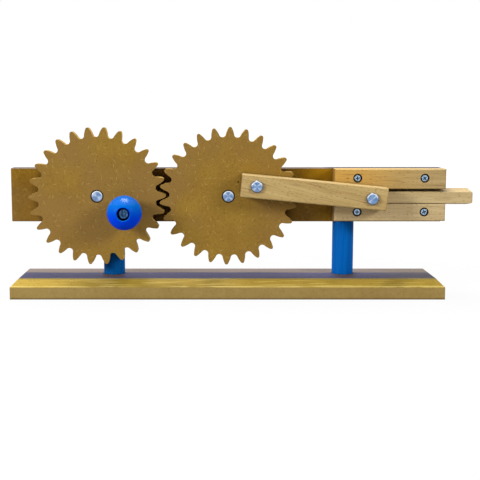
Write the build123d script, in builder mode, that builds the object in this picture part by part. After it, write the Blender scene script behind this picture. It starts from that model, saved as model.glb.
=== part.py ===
"""Wooden crank gear toy.

A ball knob turns the drive gear, the driven gear turns with it, and a crank pin, link and
dovetailed slider change the turning into a stroke to and fro.

Millimetres. +X runs along the base towards the slider, +Y to the back, +Z up.
The origin is the centre of the base board's underside.
"""

import os
from math import acos, asin, cos, degrees, radians, sin, sqrt, tan

from build123d import *

# ---------------------------------------------------------------- driving sizes

# Base board
base_length = 430.0
base_depth = 76.0
base_height = 20.0
base_chamfer = 8.0

# Posts, dowels let into the base
post_diameter = 21.5
post_clear_height = 54.0      # from the base's top to the beam's underside
post_socket_depth = 12.0
left_post_x = -115.0
right_post_x = 118.4

# Backbone beam
beam_length = 433.2
beam_middle_x = -0.6
beam_height = 54.0
beam_thickness = 18.0
beam_back_offset = 3.0        # the beam's middle plane lies this far behind the base's middle
beam_edge_ease = 0.6

# Dowel pins between the posts and the beam
dowel_diameter = 8.0
dowel_length = 30.0
dowel_ease = 1.0

# Screws under the posts
post_screw_length = 38.0
post_screw_diameter = 4.5
post_screw_head = 9.0

# Gears
module = 5.0
tooth_count = 26
pressure_angle = 25.0
tooth_thickness = 5.4         # along the pitch circle, thin for an easy running mesh
tip_height = 3.2              # from the pitch circle to the tip
root_depth = 6.7              # from the pitch circle to the root
flank_top = 2.2               # the flanks stop this far above the pitch circle
flank_foot = 4.2              # and start this far below it
flank_steps = 4               # spans between the points of each flank's curve
gear_thickness = 12.0
drive_axis_x = -129.0
drive_gear_phase = 0.6        # degrees from +X to the first tooth's middle
mesh_lead = 1.0               # the drive tooth runs this far below the middle of its tooth space
mark_diameter = 1.6           # a prick mark left by setting out the driven gear
mark_depth = 2.5
mark_radius = 17.3
mark_angle = 56.0

# Axle pins, with turned heads sunk in the gears
axle_diameter = 8.0
axle_head_diameter = 11.6
axle_head_height = 3.0
axle_head_recess = 0.3        # the head lies this far below the gear's face
axle_head_gap = 0.5           # radial, between the head and its seat in the gear
axle_head_ease = 0.5
axle_tail = 2.5               # the thread that shows behind the nut
axle_tail_ease = 0.8
spacer_diameter = 26.0
spacer_thickness = 5.7
axle_washer_diameter = 16.0
axle_washer_thickness = 1.6
axle_nut_width = 13.0
axle_nut_height = 6.5

# Ball knob
ball_diameter = 34.0
ball_flat_diameter = 14.0
knob_throw = 31.9             # from the drive axis to the knob's axis
knob_angle = -27.2
knob_recess_diameter = 12.6
knob_recess_depth = 12.0      # from the rim of the recess to its floor
knob_rim_ease = 0.7
knob_screw_diameter = 6.0
knob_screw_head = 10.0
knob_screw_head_height = 6.0
knob_screw_ease = 0.6
hex_key_width = 5.0
hex_key_depth = 3.0
knob_washer_diameter = 12.0
knob_washer_thickness = 1.6

# T-nuts in the gears' backs
t_nut_flange_diameter = 19.0
t_nut_flange_thickness = 1.5
t_nut_barrel_diameter = 8.0
t_nut_barrel_length = 9.0
t_nut_thread_diameter = 6.0

# Crank pin and slider pin
crank_throw = 29.4            # from the driven axis to the crank pin's axis
crank_angle = 22.3
pin_diameter = 8.0
pin_head_diameter = 11.8
pin_head_height = 2.0
pin_head_bevel = 0.7
pin_washer_diameter = 16.0
pin_washer_thickness = 1.0

# Connecting link
link_centres = 112.9
link_width = 22.4
link_thickness = 18.0
link_crank_end = 15.0         # from the crank pin's axis to that end of the link
link_slider_end = 14.9
link_bore_rise = 0.5          # the crank bore is drilled this far above the link's middle line
link_bore_skew = 0.5          # degrees between the link's middle line and its bores' line
link_corner_round = 1.2       # at the corners of the slider end
link_edge_ease = 0.9

# Guide strips and slider, a dovetail slide
guide_length = 110.0
guide_depth = 18.0
guide_mouth = 14.1            # the slot's height at the front, where it is narrowest
guide_lower_height = 17.6
dovetail_angle = 8.5
guide_edge_ease = 1.0
slider_mouth = 11.0           # the slider's height at the front
slider_tail = 11.5            # from the slider pin's axis to the slider's inner end
slider_overhang = 26.8        # at rest the slider stands out this far past the guide
slider_nose_round = 1.6
slider_inner_round = 1.0
slider_pin_rise = 0.5         # the slider pin stands this far above the slider's middle

# Screws in the guide strips
guide_screw_diameter = 4.0
guide_screw_head = 6.8
guide_screw_head_height = 2.0
guide_screw_head_ease = 0.6
guide_screw_head_gap = 1.1    # radial, between the head and its counterbore
guide_screw_length = 30.0
guide_screw_sink = 0.7        # the head's face lies this far below the strip's face
guide_screw_inset = 21.0      # from the strip's outer end to the outer screws
guide_screw_dowel_gap = 4.2   # from the right dowel pin to the inner screws' shanks
guide_screw_edge = 9.1        # from each strip's outer flat to its screws
recess_span = 4.0             # the cross recess, from tip to tip
recess_width = 1.0
recess_depth = 1.4
recess_turns = (8.0, 0.0, 40.0, 20.0)  # degrees; inner upper, inner lower, then the outer two

# Threaded insert in the slider
insert_diameter = 7.0
insert_length = 12.0
insert_thread_diameter = 4.2

# Clearances
running_gap = 0.08            # radial, between a pin and the bore that turns on it
face_gap = 0.3                # between faces that pass each other
fixed_gap = 0.05              # radial, between a fixed pin or plug and its hole

# ---------------------------------------------------------------- worked-out places

base_top = base_height
beam_bottom = base_top + post_clear_height
beam_top = beam_bottom + beam_height
axis_z = beam_bottom + beam_height / 2
beam_front = beam_back_offset - beam_thickness / 2
beam_back = beam_back_offset + beam_thickness / 2

pitch_radius = module * tooth_count / 2
tip_radius = pitch_radius + tip_height
root_radius = pitch_radius - root_depth
base_circle = pitch_radius * cos(radians(pressure_angle))
driven_axis_x = drive_axis_x + 2 * pitch_radius

spacer_front = beam_front - spacer_thickness
gear_back = spacer_front - face_gap
gear_front = gear_back - gear_thickness
axle_head_front = gear_front + axle_head_recess
axle_head_back = axle_head_front + axle_head_height

# The driven gear is set round so that a tooth space meets the drive gear's first tooth.
tooth_pitch_angle = 360.0 / tooth_count
space_rise = pitch_radius * sin(radians(drive_gear_phase)) + mesh_lead
driven_gear_phase = 180.0 - degrees(asin(space_rise / pitch_radius)) + tooth_pitch_angle / 2

knob_x = drive_axis_x + knob_throw * cos(radians(knob_angle))
knob_z = axis_z + knob_throw * sin(radians(knob_angle))
knob_washer_front = gear_front - knob_washer_thickness
ball_flat_y = knob_washer_front - face_gap
ball_radius = ball_diameter / 2
ball_centre_y = ball_flat_y - sqrt(ball_radius**2 - (ball_flat_diameter / 2) ** 2)
recess_rim_y = ball_centre_y - sqrt(ball_radius**2 - (knob_recess_diameter / 2) ** 2)
recess_floor_y = recess_rim_y + knob_recess_depth
knob_screw_seat = recess_floor_y - face_gap

t_nut_barrel_top = gear_back - t_nut_flange_thickness - t_nut_barrel_length

guide_front = beam_front - guide_depth
dovetail_rise = guide_depth * tan(radians(dovetail_angle))
guide_outer_x = beam_middle_x + beam_length / 2
guide_inner_x = guide_outer_x - guide_length
slot_front_top = axis_z + guide_mouth / 2
slot_front_bottom = axis_z - guide_mouth / 2
guide_bottom = slot_front_bottom - guide_lower_height

# The slider rests low in its slot, a running gap above the lower strip.
slider_z = slot_front_bottom + face_gap + slider_mouth / 2
slider_back = beam_front - face_gap
slider_depth = slider_back - guide_front
slider_back_height = slider_mouth + 2 * slider_depth * tan(radians(dovetail_angle))
slider_pin_z = slider_z + slider_pin_rise

crank_x = driven_axis_x + crank_throw * cos(radians(crank_angle))
crank_z = axis_z + crank_throw * sin(radians(crank_angle))
link_drop = crank_z - slider_pin_z
slider_pin_x = crank_x + sqrt(link_centres**2 - link_drop**2)
link_tilt = -degrees(asin(link_drop / link_centres))
slider_inner_x = slider_pin_x - slider_tail
slider_outer_x = guide_outer_x + slider_overhang

pin_washer_front = gear_front - pin_washer_thickness
link_back = pin_washer_front - face_gap
link_front = link_back - link_thickness
pin_head_back = link_front - face_gap
pin_head_front = pin_head_back - pin_head_height
slider_pin_end = guide_front - face_gap

# The slider's stroke, from its resting place to the two dead centres.
axis_drop = axis_z - slider_pin_z
stroke_out = driven_axis_x + sqrt((link_centres + crank_throw) ** 2 - axis_drop**2) - slider_pin_x
stroke_in = driven_axis_x + sqrt((link_centres - crank_throw) ** 2 - axis_drop**2) - slider_pin_x


# ---------------------------------------------------------------- helpers

def facing_front(y):
    """The upright plane at depth y: its x is +X, its y is +Z, and it looks to the front."""
    return Plane.XZ.offset(-y)


def polar(radius, angle):
    """The point at this radius and angle in degrees."""
    return (radius * cos(radians(angle)), radius * sin(radians(angle)))


def involute(angle):
    """The involute function of an angle in radians."""
    return tan(angle) - angle


def half_tooth_angle(radius):
    """Half the angle, in degrees, that a tooth takes up at this radius."""
    at_pitch = tooth_thickness / (2 * pitch_radius) + involute(radians(pressure_angle))
    return degrees(at_pitch - involute(acos(base_circle / radius)))


def rod(y_front, y_back, diameter, x, z, mode=Mode.ADD):
    """A round bar or hole along Y between two depths, inside the current part."""
    foot = facing_front(y_back).location * Location((x, z, 0))
    with Locations(foot):
        Cylinder(
            diameter / 2,
            y_back - y_front,
            align=(Align.CENTER, Align.CENTER, Align.MIN),
            mode=mode,
        )


def save(part, name):
    """Label a finished piece and write its STEP file."""
    part.label = name
    export_step(part, f"parts/{name}.step")


def toothed_blank(phase):
    """A gear blank outline with its teeth, around the origin of the sketch."""
    flank_start = pitch_radius - flank_foot
    flank_span = (flank_foot + flank_top) / flank_steps
    radii = [flank_start + flank_span * step for step in range(flank_steps + 1)]
    with BuildSketch() as blank:
        with BuildLine():
            for tooth in range(tooth_count):
                middle = phase + tooth * tooth_pitch_angle
                rising = [polar(r, middle - half_tooth_angle(r)) for r in radii]
                falling = [polar(r, middle + half_tooth_angle(r)) for r in reversed(radii)]
                next_rise = middle + tooth_pitch_angle - half_tooth_angle(flank_start)
                Spline(*rising)
                ThreePointArc(rising[-1], polar(tip_radius, middle), falling[0])
                Spline(*falling)
                ThreePointArc(
                    falling[-1],
                    polar(root_radius, middle + tooth_pitch_angle / 2),
                    polar(flank_start, next_rise),
                )
        make_face()
    return blank.sketch


def gear(axis_x, phase, pin_x, pin_z):
    """A gear with its axle bore, the sunk seat of the axle's head and its T-nut's hole."""
    with BuildPart() as wheel:
        with BuildSketch(facing_front(gear_back)):
            with Locations((axis_x, axis_z)):
                add(toothed_blank(phase))
        extrude(amount=gear_thickness)
        bore = axle_diameter + 2 * running_gap
        seat = axle_head_diameter + 2 * axle_head_gap
        flange = t_nut_flange_diameter + 2 * fixed_gap
        barrel = t_nut_barrel_diameter + 2 * fixed_gap
        thread = t_nut_thread_diameter + 2 * running_gap
        rod(gear_front, gear_back, bore, axis_x, axis_z, Mode.SUBTRACT)
        rod(gear_front, axle_head_back + face_gap, seat, axis_x, axis_z, Mode.SUBTRACT)
        rod(gear_back - t_nut_flange_thickness, gear_back, flange, pin_x, pin_z, Mode.SUBTRACT)
        rod(t_nut_barrel_top, gear_back, barrel, pin_x, pin_z, Mode.SUBTRACT)
        rod(gear_front, gear_back, thread, pin_x, pin_z, Mode.SUBTRACT)
    return wheel.part


def axle(axis_x):
    """A turned axle pin: sunk head, plain shank through gear, spacer and beam, and tail."""
    tail_end = beam_back + axle_washer_thickness + axle_nut_height + axle_tail
    with BuildPart() as pin:
        rod(axle_head_front, axle_head_back, axle_head_diameter, axis_x, axis_z)
        rod(axle_head_back, tail_end, axle_diameter, axis_x, axis_z)
        rims = pin.edges().filter_by(GeomType.CIRCLE).group_by(Axis.Y)
        chamfer(rims[0], axle_head_ease)
        chamfer(rims[-1], axle_tail_ease)
    return pin.part


def ring(y_front, y_back, outer, inner, x, z):
    """A plain washer or spacer."""
    with BuildPart() as disc:
        rod(y_front, y_back, outer, x, z)
        rod(y_front, y_back, inner, x, z, Mode.SUBTRACT)
    return disc.part


def hex_nut(y_front, width, height, bore, x, z):
    """A hexagon nut with its corners turned down on both faces."""
    with BuildPart() as nut:
        with BuildSketch(facing_front(y_front + height)):
            with Locations((x, z)):
                RegularPolygon(width / 2, 6, major_radius=False)
        extrude(amount=height)
        corner_radius = width / sqrt(3)
        turned_down = corner_radius - width / 2
        with BuildSketch(facing_front(y_front + height)):
            with Locations((x, z)):
                Circle(corner_radius)
        extrude(amount=height, mode=Mode.INTERSECT)
        rod(y_front, y_front + height, bore, x, z, Mode.SUBTRACT)
        rims = nut.edges().filter_by(GeomType.CIRCLE).filter_by(lambda e: e.radius < width / 2)
        chamfer(rims, turned_down / 2)
    return nut.part


def t_nut(x, z):
    """A T-nut: a flange let into the gear's back, and a threaded barrel."""
    with BuildPart() as nut:
        rod(gear_back - t_nut_flange_thickness, gear_back, t_nut_flange_diameter, x, z)
        rod(t_nut_barrel_top, gear_back, t_nut_barrel_diameter, x, z)
        bore = t_nut_thread_diameter + 2 * fixed_gap
        rod(t_nut_barrel_top, gear_back, bore, x, z, Mode.SUBTRACT)
    return nut.part


def countersunk_profile(head, shank, length):
    """Half the lengthwise section of a countersunk screw, up along Y from its head's face."""
    cone = (head - shank) / 2
    with BuildSketch() as section:
        with BuildLine():
            Polyline(
                (0, 0),
                (head / 2, 0),
                (shank / 2, cone),
                (shank / 2, length - shank),
                (0, length),
                close=True,
            )
        make_face()
    return section.sketch


def pan_head_profile(head, head_height, ease, shank, length):
    """Half the lengthwise section of a pan-head screw, up along Y from its head's face."""
    with BuildSketch() as section:
        with BuildLine():
            Polyline(
                (0, 0),
                (head / 2 - ease, 0),
                (head / 2, ease),
                (head / 2, head_height),
                (shank / 2, head_height),
                (shank / 2, length - shank),
                (0, length),
                close=True,
            )
        make_face()
    return section.sketch


# ---------------------------------------------------------------- base and posts

os.makedirs("parts", exist_ok=True)

post_places = {"left": left_post_x, "right": right_post_x}
socket_floor = base_top - post_socket_depth
post_screw_cone = (post_screw_head - post_screw_diameter) / 2

with BuildPart() as base_board:
    with BuildSketch(Plane.XY):
        Rectangle(base_length, base_depth)
    extrude(amount=base_height)
    chamfer(base_board.faces().sort_by(Axis.Z)[-1].edges(), base_chamfer)
    with BuildSketch(Plane.XY.offset(socket_floor)):
        with Locations(*[(x, beam_back_offset) for x in post_places.values()]):
            Circle(post_diameter / 2 + fixed_gap)
    extrude(amount=post_socket_depth, mode=Mode.SUBTRACT)
    with Locations(Plane.XY):
        with Locations(*[(x, beam_back_offset) for x in post_places.values()]):
            Cylinder(
                post_screw_diameter / 2 + fixed_gap,
                socket_floor,
                align=(Align.CENTER, Align.CENTER, Align.MIN),
                mode=Mode.SUBTRACT,
            )
            Cone(
                post_screw_head / 2 + fixed_gap,
                post_screw_diameter / 2 + fixed_gap,
                post_screw_cone,
                align=(Align.CENTER, Align.CENTER, Align.MIN),
                mode=Mode.SUBTRACT,
            )
save(base_board.part, "base_board")

for side, post_x in post_places.items():
    with BuildPart() as post:
        with BuildSketch(Plane.XY.offset(socket_floor)):
            with Locations((post_x, beam_back_offset)):
                Circle(post_diameter / 2)
        extrude(amount=beam_bottom - socket_floor)
        with BuildSketch(Plane.XY.offset(beam_bottom)):
            with Locations((post_x, beam_back_offset)):
                Circle(dowel_diameter / 2 + fixed_gap)
        extrude(amount=-dowel_length / 2 - face_gap, mode=Mode.SUBTRACT)
        with BuildSketch(Plane.XY.offset(socket_floor)):
            with Locations((post_x, beam_back_offset)):
                Circle(post_screw_diameter / 2 + fixed_gap)
        extrude(amount=post_screw_length - socket_floor + face_gap, mode=Mode.SUBTRACT)
    save(post.part, f"{side}_post")

    with BuildPart() as dowel:
        with BuildSketch(Plane.XY.offset(beam_bottom - dowel_length / 2)):
            with Locations((post_x, beam_back_offset)):
                Circle(dowel_diameter / 2)
        extrude(amount=dowel_length)
        chamfer(dowel.edges().filter_by(GeomType.CIRCLE), dowel_ease)
    save(dowel.part, f"{side}_dowel_pin")

    with BuildPart() as post_screw:
        with BuildSketch(Plane((post_x, beam_back_offset, 0), x_dir=(1, 0, 0), z_dir=(0, -1, 0))):
            add(countersunk_profile(post_screw_head, post_screw_diameter, post_screw_length))
        revolve(axis=Axis((post_x, beam_back_offset, 0), (0, 0, 1)))
    save(post_screw.part, f"{side}_post_screw")

# ---------------------------------------------------------------- beam

outer_screw_x = guide_outer_x - guide_screw_inset
inner_screw_x = right_post_x + (dowel_diameter + guide_screw_diameter) / 2 + guide_screw_dowel_gap
guide_screw_xs = (inner_screw_x, outer_screw_x)
guide_screw_zs = (beam_top - guide_screw_edge, guide_bottom + guide_screw_edge)
guide_screw_places = [(x, z) for x in guide_screw_xs for z in guide_screw_zs]
guide_screw_face = guide_front + guide_screw_sink
guide_screw_seat = guide_screw_face + guide_screw_head_height
guide_screw_end = guide_screw_face + guide_screw_length

with BuildPart() as backbone_beam:
    with BuildSketch(facing_front(beam_back)):
        with Locations((beam_middle_x, axis_z)):
            Rectangle(beam_length, beam_height)
    extrude(amount=beam_thickness)
    chamfer(backbone_beam.edges(), beam_edge_ease)
    for axis_x in (drive_axis_x, driven_axis_x):
        rod(beam_front, beam_back, axle_diameter + 2 * fixed_gap, axis_x, axis_z, Mode.SUBTRACT)
    for x, z in guide_screw_places:
        pilot = guide_screw_diameter + 2 * fixed_gap
        rod(beam_front, guide_screw_end, pilot, x, z, Mode.SUBTRACT)
    with BuildSketch(Plane.XY.offset(beam_bottom)):
        with Locations(*[(x, beam_back_offset) for x in post_places.values()]):
            Circle(dowel_diameter / 2 + fixed_gap)
    extrude(amount=dowel_length / 2 + face_gap, mode=Mode.SUBTRACT)
save(backbone_beam.part, "backbone_beam")


# ---------------------------------------------------------------- guide strips

def guide_strip(front_height, back_height, flat_z, up):
    """A strip with one undercut face. up is 1 for the upper strip and -1 for the lower."""
    with BuildPart() as strip:
        with BuildSketch(Plane.YZ.offset(guide_inner_x)):
            with BuildLine():
                Polyline(
                    (guide_front, flat_z),
                    (beam_front, flat_z),
                    (beam_front, flat_z - up * back_height),
                    (guide_front, flat_z - up * front_height),
                    close=True,
                )
            make_face()
        extrude(amount=guide_length)
        long_edges = strip.edges().filter_by(Axis.X).group_by(Axis.Y)[0]
        end_edges = strip.faces().filter_by(Plane.YZ).edges().group_by(Axis.Y)[0]
        chamfer(long_edges + end_edges, guide_edge_ease)
        screw_z = flat_z - up * guide_screw_edge
        counterbore = guide_screw_head + 2 * guide_screw_head_gap
        hole = guide_screw_diameter + 2 * fixed_gap
        for x in guide_screw_xs:
            rod(guide_front, guide_screw_seat, counterbore, x, screw_z, Mode.SUBTRACT)
            rod(guide_front, beam_front, hole, x, screw_z, Mode.SUBTRACT)
    return strip.part


upper_height = beam_top - slot_front_top
upper_guide = guide_strip(upper_height, upper_height - dovetail_rise, beam_top, 1)
save(upper_guide, "upper_guide_strip")
lower_guide = guide_strip(guide_lower_height, guide_lower_height - dovetail_rise, guide_bottom, -1)
save(lower_guide, "lower_guide_strip")

guide_screw_outline = pan_head_profile(
    guide_screw_head,
    guide_screw_head_height,
    guide_screw_head_ease,
    guide_screw_diameter,
    guide_screw_length,
)
with BuildPart() as guide_screws:
    for (x, z), turn in zip(guide_screw_places, recess_turns):
        with BuildSketch(Plane((x, guide_screw_face, z), x_dir=(1, 0, 0), z_dir=(0, 0, 1))):
            add(guide_screw_outline)
        revolve(axis=Axis((x, guide_screw_face, z), (0, 1, 0)))
        with BuildSketch(facing_front(guide_screw_face + recess_depth)):
            with Locations((x, z)):
                Rectangle(recess_span, recess_width, rotation=turn)
                Rectangle(recess_width, recess_span, rotation=turn)
        extrude(amount=recess_depth, mode=Mode.SUBTRACT)
save(guide_screws.part, "guide_screws")

# ---------------------------------------------------------------- gears and axles

drive_gear = gear(drive_axis_x, drive_gear_phase, knob_x, knob_z)
save(drive_gear, "drive_gear")

with BuildPart() as driven_gear:
    add(gear(driven_axis_x, driven_gear_phase, crank_x, crank_z))
    mark_x, mark_z = polar(mark_radius, mark_angle)
    rod(gear_front, gear_front + mark_depth, mark_diameter, driven_axis_x + mark_x,
        axis_z + mark_z, Mode.SUBTRACT)
save(driven_gear.part, "driven_gear")

for name, axis_x in {"drive": drive_axis_x, "driven": driven_axis_x}.items():
    bore = axle_diameter + 2 * fixed_gap
    washer_back = beam_back + axle_washer_thickness
    save(axle(axis_x), f"{name}_axle_pin")
    save(ring(spacer_front, beam_front, spacer_diameter, bore, axis_x, axis_z), f"{name}_spacer")
    save(ring(beam_back, washer_back, axle_washer_diameter, bore, axis_x, axis_z),
         f"{name}_axle_washer")
    save(hex_nut(washer_back, axle_nut_width, axle_nut_height, bore, axis_x, axis_z),
         f"{name}_axle_nut")

# ---------------------------------------------------------------- ball knob

with BuildPart() as ball_knob:
    with Locations((knob_x, ball_centre_y, knob_z)):
        Sphere(ball_radius)
    rod(ball_flat_y, ball_flat_y + ball_radius, ball_diameter, knob_x, knob_z, Mode.SUBTRACT)
    rod(ball_centre_y - ball_radius, recess_floor_y, knob_recess_diameter, knob_x, knob_z,
        Mode.SUBTRACT)
    rod(recess_floor_y, ball_flat_y, knob_screw_diameter + 2 * running_gap, knob_x, knob_z,
        Mode.SUBTRACT)
    rim = ball_knob.edges().filter_by(GeomType.CIRCLE).sort_by(Axis.Y)[0]
    chamfer(rim, knob_rim_ease)
save(ball_knob.part, "ball_knob")

with BuildPart() as knob_screw:
    head_front = knob_screw_seat - knob_screw_head_height
    rod(head_front, knob_screw_seat, knob_screw_head, knob_x, knob_z)
    rod(knob_screw_seat, gear_back, knob_screw_diameter, knob_x, knob_z)
    chamfer(knob_screw.edges().filter_by(GeomType.CIRCLE).group_by(Axis.Y)[0], knob_screw_ease)
    with BuildSketch(facing_front(head_front + hex_key_depth)):
        with Locations((knob_x, knob_z)):
            RegularPolygon(hex_key_width / 2, 6, major_radius=False)
    extrude(amount=hex_key_depth, mode=Mode.SUBTRACT)
save(knob_screw.part, "knob_screw")

save(t_nut(knob_x, knob_z), "knob_t_nut")
save(
    ring(knob_washer_front, gear_front, knob_washer_diameter,
         knob_screw_diameter + 2 * fixed_gap, knob_x, knob_z),
    "knob_washer",
)


# ---------------------------------------------------------------- crank pin, link, slider pin

def headed_pin(x, z, shank_end):
    """A turned pin with a low bevelled head in front of the link."""
    with BuildPart() as pin:
        rod(pin_head_front, pin_head_back, pin_head_diameter, x, z)
        rod(pin_head_back, shank_end, pin_diameter, x, z)
        rims = pin.edges().filter_by(GeomType.CIRCLE).group_by(Axis.Y)
        chamfer(rims[0], pin_head_bevel)
    return pin.part


with BuildPart() as crank_pin:
    add(headed_pin(crank_x, crank_z, gear_front))
    rod(gear_front, gear_back, t_nut_thread_diameter, crank_x, crank_z)
save(crank_pin.part, "crank_pin")
save(t_nut(crank_x, crank_z), "crank_t_nut")
pin_washer_bore = pin_diameter + 2 * fixed_gap
save(
    ring(pin_washer_front, gear_front, pin_washer_diameter, pin_washer_bore, crank_x, crank_z),
    "crank_washer",
)

link_plane = Plane(
    (crank_x, link_back, crank_z),
    x_dir=(cos(radians(link_tilt)), 0, sin(radians(link_tilt))),
    z_dir=(0, -1, 0),
)
with BuildPart() as connecting_link:
    with BuildSketch(link_plane):
        with Locations((-link_crank_end, -link_bore_rise)):
            Rectangle(
                link_crank_end + link_centres + link_slider_end,
                link_width,
                rotation=link_bore_skew,
                align=(Align.MIN, Align.CENTER),
            )
    extrude(amount=link_thickness)
    long_axis = Axis(link_plane.origin, link_plane.x_dir)
    slider_end = connecting_link.faces().sort_by(long_axis)[-1]
    fillet(slider_end.edges().filter_by(Axis.Y), link_corner_round)
    chamfer(connecting_link.edges(), link_edge_ease)
    with BuildSketch(link_plane):
        with Locations((0, 0), (link_centres, 0)):
            Circle(pin_diameter / 2 + running_gap)
    extrude(amount=link_thickness, mode=Mode.SUBTRACT)
save(connecting_link.part, "connecting_link")

save(headed_pin(slider_pin_x, slider_pin_z, slider_pin_end), "slider_pin")
save(
    ring(link_back, slider_pin_end, pin_washer_diameter, pin_washer_bore, slider_pin_x,
         slider_pin_z),
    "slider_washer",
)

# ---------------------------------------------------------------- slider

with BuildPart() as slider:
    with BuildSketch(Plane.YZ.offset(slider_inner_x)):
        with BuildLine():
            Polyline(
                (guide_front, slider_z - slider_mouth / 2),
                (slider_back, slider_z - slider_back_height / 2),
                (slider_back, slider_z + slider_back_height / 2),
                (guide_front, slider_z + slider_mouth / 2),
                close=True,
            )
        make_face()
    extrude(amount=slider_outer_x - slider_inner_x)
    ends = slider.faces().filter_by(Plane.YZ).sort_by(Axis.X)
    fillet(ends[-1].edges(), slider_nose_round)
    chamfer(slider.faces().filter_by(Plane.YZ).sort_by(Axis.X)[0].edges(), slider_inner_round)
    rod(guide_front, guide_front + insert_length, insert_diameter + 2 * fixed_gap,
        slider_pin_x, slider_pin_z, Mode.SUBTRACT)
save(slider.part, "slider")

with BuildPart() as slider_insert:
    rod(guide_front, guide_front + insert_length, insert_diameter, slider_pin_x, slider_pin_z)
    rod(guide_front, guide_front + insert_length, insert_thread_diameter, slider_pin_x,
        slider_pin_z, Mode.SUBTRACT)
save(slider_insert.part, "slider_insert")

print(f"drive axis      x {drive_axis_x:.2f}  z {axis_z:.2f}")
print(f"driven axis     x {driven_axis_x:.2f}  phase {driven_gear_phase:.3f}")
print(f"knob axis       x {knob_x:.3f}  z {knob_z:.3f}  ball centre y {ball_centre_y:.3f}")
print(f"crank pin axis  x {crank_x:.3f}  z {crank_z:.3f}")
print(f"slider pin axis x {slider_pin_x:.3f}  z {slider_pin_z:.3f}  link tilt {link_tilt:.3f}")
print(f"slider stroke   in {stroke_in:.3f}  out {stroke_out:.3f}")
print(f"depths          gear {gear_back:.2f}..{gear_front:.2f}  link {link_back:.2f}..{link_front:.2f}")
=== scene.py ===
# %% [markdown]
# # Dressing a wooden crank gear toy
# A ball knob turns a fibreboard gear, a second gear turns with it, and a crank pin, a beech link and
# a dovetailed slider change the turning into a stroke to and fro. Every piece comes from the
# construction model at its real size and in its real place. This lesson gives the pieces their
# finishes, winds the screw threads that are too fine for that model, and lights and frames the toy.
#
# The first step loads the construction model. Places and sizes are in metres unless a name or a
# comment says millimetres.

# %% Load the construction model
from math import cos, pi, radians, sin

import bmesh
import bpy
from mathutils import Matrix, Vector


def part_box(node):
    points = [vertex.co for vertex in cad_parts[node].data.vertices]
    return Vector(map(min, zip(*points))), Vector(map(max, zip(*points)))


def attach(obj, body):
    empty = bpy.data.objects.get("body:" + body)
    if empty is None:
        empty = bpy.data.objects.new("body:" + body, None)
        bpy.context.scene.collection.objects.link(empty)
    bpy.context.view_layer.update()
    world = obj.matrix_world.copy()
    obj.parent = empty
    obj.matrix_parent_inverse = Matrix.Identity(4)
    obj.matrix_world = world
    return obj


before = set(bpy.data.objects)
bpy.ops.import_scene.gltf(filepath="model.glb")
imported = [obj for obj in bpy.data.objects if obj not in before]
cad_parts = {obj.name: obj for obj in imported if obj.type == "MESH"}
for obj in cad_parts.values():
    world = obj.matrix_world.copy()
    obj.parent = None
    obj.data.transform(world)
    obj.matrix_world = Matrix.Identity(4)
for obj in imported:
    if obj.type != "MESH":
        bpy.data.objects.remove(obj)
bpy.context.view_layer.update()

MM = 0.001

# %% [markdown]
# ## The camera
# The photograph was taken from the front, a little above the toy, with the camera tipped down by
# seven and a half degrees. The edges of the base board give the distance and the focal length, and
# a small sideways shift stands for a crop that isn't centred on the lens.

# %% Camera
PHOTO_PIXELS = 480
SENSOR_MM = 36.0
FOCAL_PIXELS = 991.14
LENS_CENTRE_COLUMN = 209.25
CAMERA_PLACE = Vector((-17.93, -1001.23, 187.76)) * MM
CAMERA_TIP_DOWN = radians(7.592)

camera_data = bpy.data.cameras.new("photo_camera")
camera_data.sensor_width = SENSOR_MM
camera_data.lens = FOCAL_PIXELS / PHOTO_PIXELS * SENSOR_MM
camera_data.shift_x = (PHOTO_PIXELS / 2 - LENS_CENTRE_COLUMN) / PHOTO_PIXELS
camera = bpy.data.objects.new("photo_camera", camera_data)
camera.location = CAMERA_PLACE
camera.rotation_euler = (pi / 2 - CAMERA_TIP_DOWN, 0, 0)
bpy.context.scene.collection.objects.link(camera)
bpy.context.scene.camera = camera
bpy.context.scene.view_settings.view_transform = "Standard"
print(f"camera: lens {camera_data.lens:.1f} mm, shift {camera_data.shift_x:.3f}")

# %% [markdown]
# ## Writing a shader as sums
# A finish is a sum of patterns: a ground tone, plus mottling, minus specks. Blender keeps such sums
# as nodes, which are slow to read where they are written out one by one. Two small classes let the
# lesson write them as Python sums. The first, `Wire`, is one output of a node. Adding or multiplying
# wires adds a Math node, or a Vector Math node where one side is a vector.

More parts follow.
